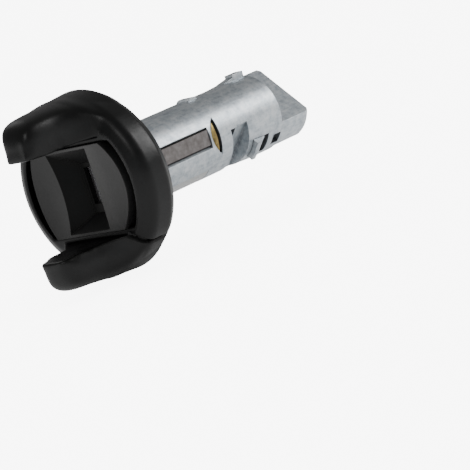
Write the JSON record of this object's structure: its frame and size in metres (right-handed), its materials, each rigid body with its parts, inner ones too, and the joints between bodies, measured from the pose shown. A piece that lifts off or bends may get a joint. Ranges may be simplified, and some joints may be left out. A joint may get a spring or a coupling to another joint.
{
  "type": "ignition lock cylinder",
  "caption": "Ignition lock cylinder with a black winged turning knob, a die-cast plug with a sidebar, a sprung retaining tab and a flat coupling tang.",
  "frame": {"origin": "on the lock's axis, at the plane of the knob's back", "axes": "+Y along the axis, away from the face, towards the tang; +Z through the middle of the upper wing; +X to the right seen from the front, towards the sidebar"},
  "size_m": [0.0454, 0.0972, 0.047],
  "materials": {
    "knob_black": "gloss",
    "cap_black": "satin",
    "zinc": "satin",
    "bar_steel": "satin",
    "steel": "satin",
    "spring_steel": "satin",
    "brass": "satin"
  },
  "bodies": {
    "plug": {"lock_body": "zinc", "knob": "knob_black", "face_cap": "cap_black", "spring_cover": "brass", "sidebar_retainer": "brass", "shutter_pin": "steel", "shutter_spring": "spring_steel", "sidebar_spring_front": "spring_steel", "sidebar_spring_rear": "spring_steel", "retaining_tab_spring": "spring_steel", "tumbler_spring_01": "spring_steel", "tumbler_spring_02": "spring_steel", "tumbler_spring_03": "spring_steel", "tumbler_spring_04": "spring_steel", "tumbler_spring_05": "spring_steel", "tumbler_spring_06": "spring_steel", "tumbler_spring_07": "spring_steel", "tumbler_spring_08": "spring_steel", "tumbler_spring_09": "spring_steel", "tumbler_spring_10": "spring_steel"},
    "sidebar_body": {"sidebar": "bar_steel"},
    "tab_body": {"retaining_tab": "zinc"},
    "shutter_body": {"shutter": "steel"},
    "tumbler_body_01": {"tumbler_01": "brass"},
    "tumbler_body_02": {"tumbler_02": "brass"},
    "tumbler_body_03": {"tumbler_03": "brass"},
    "tumbler_body_04": {"tumbler_04": "brass"},
    "tumbler_body_05": {"tumbler_05": "brass"},
    "tumbler_body_06": {"tumbler_06": "brass"},
    "tumbler_body_07": {"tumbler_07": "brass"},
    "tumbler_body_08": {"tumbler_08": "brass"},
    "tumbler_body_09": {"tumbler_09": "brass"},
    "tumbler_body_10": {"tumbler_10": "brass"}
  },
  "joints": [
    {"name": "sidebar_slide", "type": "slide", "parent": "plug", "child": "sidebar_body", "axis": [-1, 0, 0], "range_m": [0, 0.0006], "stiffness_N_per_m": 150, "springref_m": -0.002, "deforming": ["sidebar_spring_front", "sidebar_spring_rear"]},
    {"name": "retaining_tab_slide", "type": "slide", "parent": "plug", "child": "tab_body", "axis": [-0.7071, 0, 0.7071], "range_m": [0, 0.0014], "stiffness_N_per_m": 300, "springref_m": -0.002, "deforming": ["retaining_tab_spring"]},
    {"name": "shutter_hinge", "type": "hinge", "parent": "plug", "child": "shutter_body", "pos_m": [-0.0023, -0.0046, 0], "axis": [0, 0, 1], "range_deg": [0, 80], "stiffness_Nm_per_rad": 0.0005, "springref_deg": -28.65, "deforming": ["shutter_spring"]},
    {"name": "tumbler_slide_01", "type": "slide", "parent": "plug", "child": "tumbler_body_01", "axis": [0, 0, -1], "range_m": [0, 0.0016], "stiffness_N_per_m": 60, "springref_m": -0.002, "deforming": ["tumbler_spring_01"]},
    {"name": "tumbler_slide_02", "type": "slide", "parent": "plug", "child": "tumbler_body_02", "axis": [0, 0, -1], "range_m": [0, 0.0016], "stiffness_N_per_m": 60, "springref_m": -0.002, "deforming": ["tumbler_spring_02"]},
    {"name": "tumbler_slide_03", "type": "slide", "parent": "plug", "child": "tumbler_body_03", "axis": [0, 0, -1], "range_m": [0, 0.0016], "stiffness_N_per_m": 60, "springref_m": -0.002, "deforming": ["tumbler_spring_03"]},
    {"name": "tumbler_slide_04", "type": "slide", "parent": "plug", "child": "tumbler_body_04", "axis": [0, 0, -1], "range_m": [0, 0.0016], "stiffness_N_per_m": 60, "springref_m": -0.002, "deforming": ["tumbler_spring_04"]},
    {"name": "tumbler_slide_05", "type": "slide", "parent": "plug", "child": "tumbler_body_05", "axis": [0, 0, -1], "range_m": [0, 0.0016], "stiffness_N_per_m": 60, "springref_m": -0.002, "deforming": ["tumbler_spring_05"]},
    {"name": "tumbler_slide_06", "type": "slide", "parent": "plug", "child": "tumbler_body_06", "axis": [0, 0, -1], "range_m": [0, 0.0016], "stiffness_N_per_m": 60, "springref_m": -0.002, "deforming": ["tumbler_spring_06"]},
    {"name": "tumbler_slide_07", "type": "slide", "parent": "plug", "child": "tumbler_body_07", "axis": [0, 0, -1], "range_m": [0, 0.0016], "stiffness_N_per_m": 60, "springref_m": -0.002, "deforming": ["tumbler_spring_07"]},
    {"name": "tumbler_slide_08", "type": "slide", "parent": "plug", "child": "tumbler_body_08", "axis": [0, 0, -1], "range_m": [0, 0.0016], "stiffness_N_per_m": 60, "springref_m": -0.002, "deforming": ["tumbler_spring_08"]},
    {"name": "tumbler_slide_09", "type": "slide", "parent": "plug", "child": "tumbler_body_09", "axis": [0, 0, -1], "range_m": [0, 0.0016], "stiffness_N_per_m": 60, "springref_m": -0.002, "deforming": ["tumbler_spring_09"]},
    {"name": "tumbler_slide_10", "type": "slide", "parent": "plug", "child": "tumbler_body_10", "axis": [0, 0, -1], "range_m": [0, 0.0016], "stiffness_N_per_m": 60, "springref_m": -0.002, "deforming": ["tumbler_spring_10"]}
  ]
}
